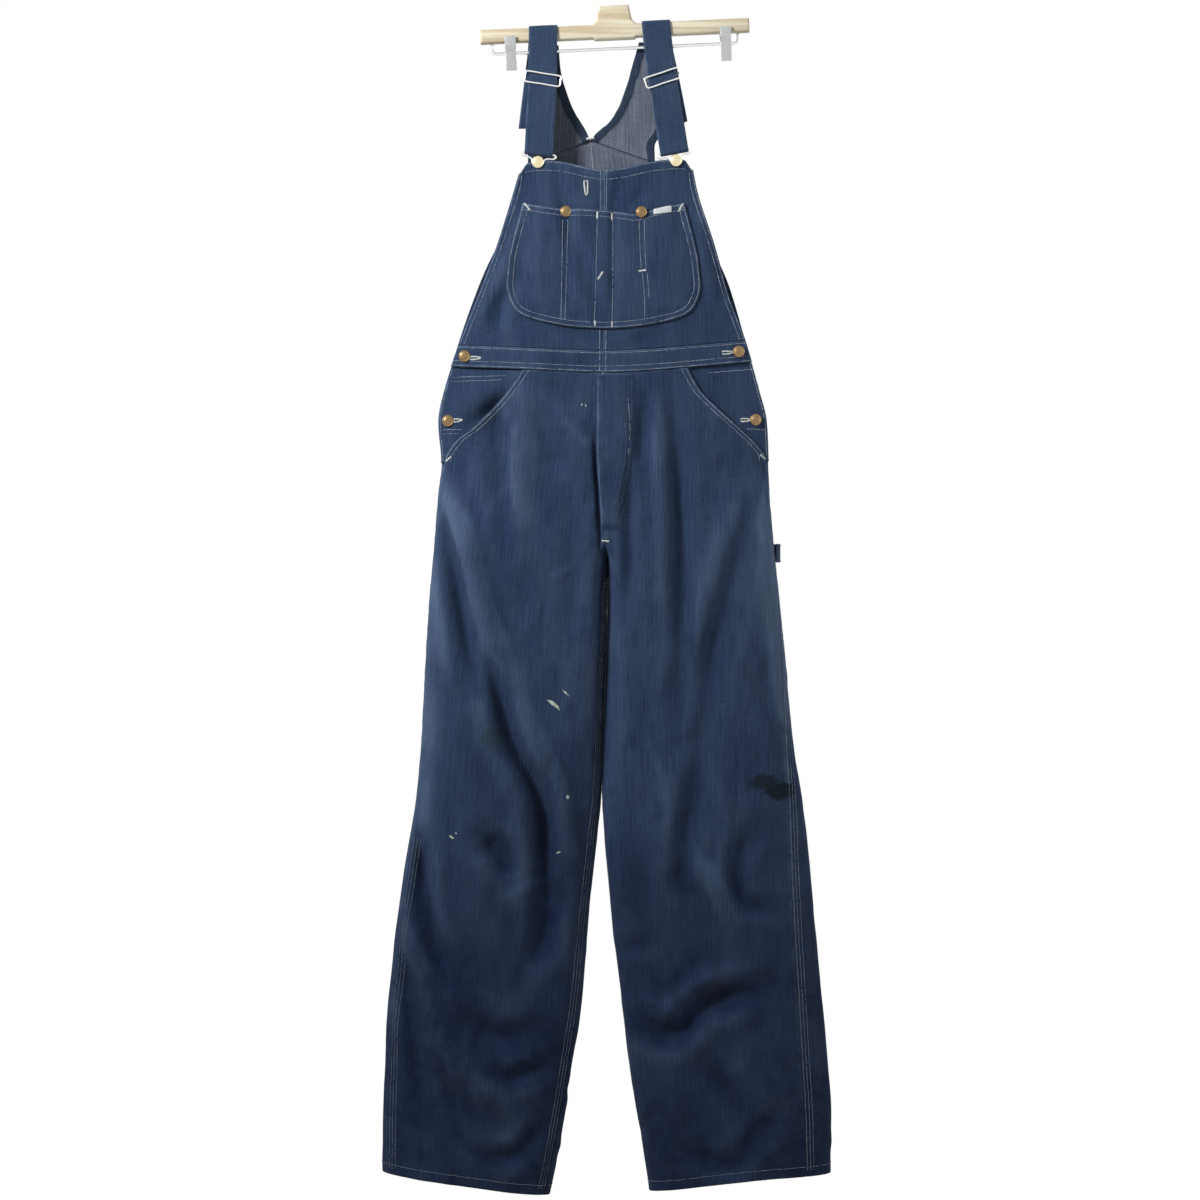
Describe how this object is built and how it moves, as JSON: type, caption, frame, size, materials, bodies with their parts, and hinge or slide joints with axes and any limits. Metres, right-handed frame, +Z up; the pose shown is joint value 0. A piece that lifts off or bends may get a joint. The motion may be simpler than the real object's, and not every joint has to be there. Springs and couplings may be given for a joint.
{
  "type": "bib overalls on a clip hanger",
  "caption": "Worn indigo denim bib overalls with bib pocket, side pockets, fly and wire-buckled straps, hung over the wooden bar of a clip hanger.",
  "frame": {"origin": "inside top of the hanger's hook, where a rail holds it", "axes": "+Z up along the hung garment, -Y the way its front faces, -X the wearer's right-hand side"},
  "size_m": [0.5832, 0.0755, 1.6088],
  "materials": {
    "denim": "matt indigo twill, worn pale on its ridges",
    "denim_inside": "matt, the paler wrong side of the twill",
    "label": "matt woven white, blank",
    "brass": "dull, worn",
    "pale_brass": "bright, worn",
    "steel": "plated wire",
    "wood": "satin varnish"
  },
  "bodies": {
    "root": {"front_leg_right": "denim", "front_leg_left": "denim", "back_right": "denim", "back_left": "denim", "side_facing_right": "denim", "side_facing_left": "denim", "bib_right": "denim", "bib_left": "denim", "yoke_right": "denim_inside", "yoke_left": "denim_inside", "strap_right": "denim", "strap_left": "denim", "waistband": "denim", "bib_pocket": "denim", "fly": "denim", "label": "label", "hammer_loop": "denim", "pocket_button_right": "brass", "pocket_button_left": "brass", "side_button_right": "brass", "side_button_left": "brass", "hip_button_right": "brass", "hip_button_left": "brass", "strap_button_right": "pale_brass", "strap_button_left": "pale_brass", "slider_right": "steel", "slider_left": "steel", "buckle_right": "steel", "buckle_left": "steel", "hanger_hook": "steel", "hanger_wood": "wood", "hanger_rod": "steel", "hanger_clip_right": "steel", "hanger_clip_left": "steel"}
  },
  "joints": []
}
